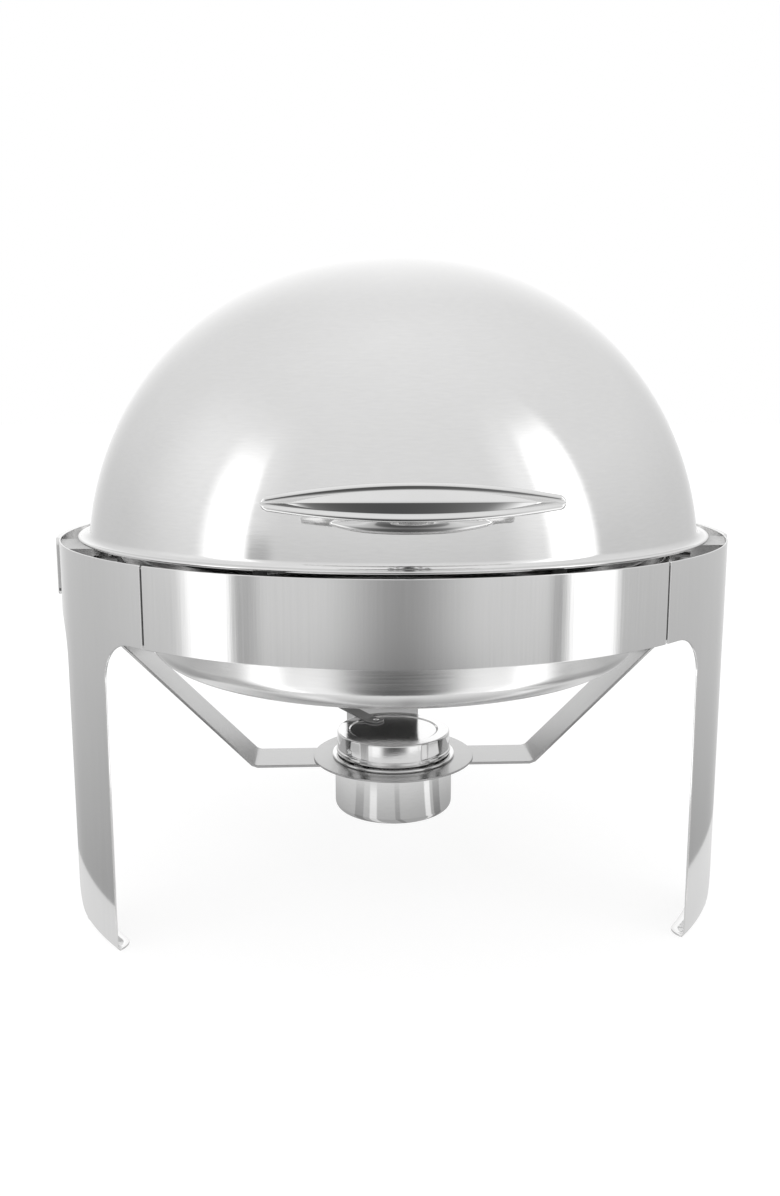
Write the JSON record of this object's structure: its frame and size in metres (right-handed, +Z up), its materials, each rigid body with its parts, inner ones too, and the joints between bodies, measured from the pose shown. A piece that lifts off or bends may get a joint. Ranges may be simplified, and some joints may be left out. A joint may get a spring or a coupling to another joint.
{
  "type": "roll top chafer",
  "caption": "Round buffet chafer: dome lid that rolls back on side pins, water pan and food pan in a leg stand, fuel cup with snuffer cap below.",
  "frame": {"origin": "on the table under the dome's centre", "axes": "+Z up, the front with the handle faces -Y, +X along the lid's pivot axis to the viewer's right"},
  "size_m": [0.4848, 0.4841, 0.45],
  "materials": {
    "frame_steel": "polished stainless steel",
    "dome_steel": "mirror polished stainless steel",
    "handle_chrome": "bright cast and polished",
    "bracket_steel": "satin stainless steel",
    "pan_steel": "satin drawn stainless steel",
    "cup_steel": "polished stainless steel",
    "fastener_steel": "bright zinc",
    "nylon": "natural nylon",
    "rubber": "matte black"
  },
  "bodies": {
    "stand": {"front_band": "frame_steel", "left_leg": "frame_steel", "right_leg": "frame_steel", "rear_leg": "frame_steel", "rear_band_left": "frame_steel", "rear_band_right": "frame_steel", "splice_plates": "bracket_steel", "band_rivets": "fastener_steel", "hinge_bracket_left": "bracket_steel", "hinge_bracket_right": "bracket_steel", "hinge_pin_left": "fastener_steel", "hinge_pin_right": "fastener_steel", "hinge_washers": "nylon", "hinge_nuts": "fastener_steel", "pan_cradle": "bracket_steel", "lid_rests": "rubber", "fuel_ring": "bracket_steel", "fuel_arm_left": "bracket_steel", "fuel_arm_right": "bracket_steel", "arm_screws": "fastener_steel"},
    "lid": {"dome": "dome_steel", "hinge_lug_left": "bracket_steel", "hinge_lug_right": "bracket_steel", "handle_foot": "handle_chrome", "handle_grip": "handle_chrome", "handle_screws": "fastener_steel"},
    "water_pan": {"water_pan": "pan_steel"},
    "food_pan": {"food_pan": "pan_steel"},
    "fuel_cup": {"fuel_cup": "cup_steel"},
    "snuffer_cap": {"snuffer_cap": "cup_steel", "cap_handle": "cup_steel", "cap_rivets": "fastener_steel"}
  },
  "joints": [
    {"name": "lid_roll", "type": "hinge", "parent": "stand", "child": "lid", "pos_m": [0, 0, 0.232], "axis": [-1, 0, 0], "range_deg": [0, 88]},
    {"name": "water_pan_lift", "type": "slide", "parent": "stand", "child": "water_pan", "axis": [0, 0, 1], "range_m": [0, 0.03]},
    {"name": "food_pan_lift", "type": "slide", "parent": "water_pan", "child": "food_pan", "axis": [0, 0, 1], "range_m": [0, 0.035]},
    {"name": "fuel_cup_lift", "type": "slide", "parent": "stand", "child": "fuel_cup", "axis": [0, 0, 1], "range_m": [0, 0.026]},
    {"name": "snuffer_cap_lift", "type": "slide", "parent": "fuel_cup", "child": "snuffer_cap", "axis": [0, 0, 1], "range_m": [0, 0.016]}
  ]
}
